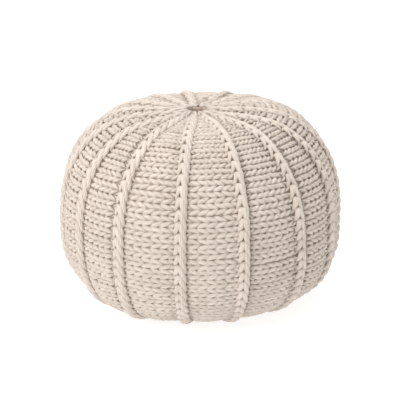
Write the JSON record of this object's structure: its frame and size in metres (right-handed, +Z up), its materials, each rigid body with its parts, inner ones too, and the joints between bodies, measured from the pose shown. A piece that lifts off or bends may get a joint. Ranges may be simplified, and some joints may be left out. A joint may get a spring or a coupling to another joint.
{
  "type": "knitted pouf",
  "caption": "Round floor pouf in thick knitted cotton cord, with raised ribs that gather on a small hole in the crown and a flat underside to stand on.",
  "frame": {"origin": "middle of the flat underside that the pouf stands on", "axes": "+Z up through the gathered crown, -Y towards the front shown in the picture, +X to the right seen from the front"},
  "size_m": [0.4964, 0.4938, 0.3434],
  "materials": {
    "knit": "matt cotton cord, knitted in panels with raised chain ribs"
  },
  "bodies": {
    "root": {"pouf": "knit"}
  },
  "joints": []
}
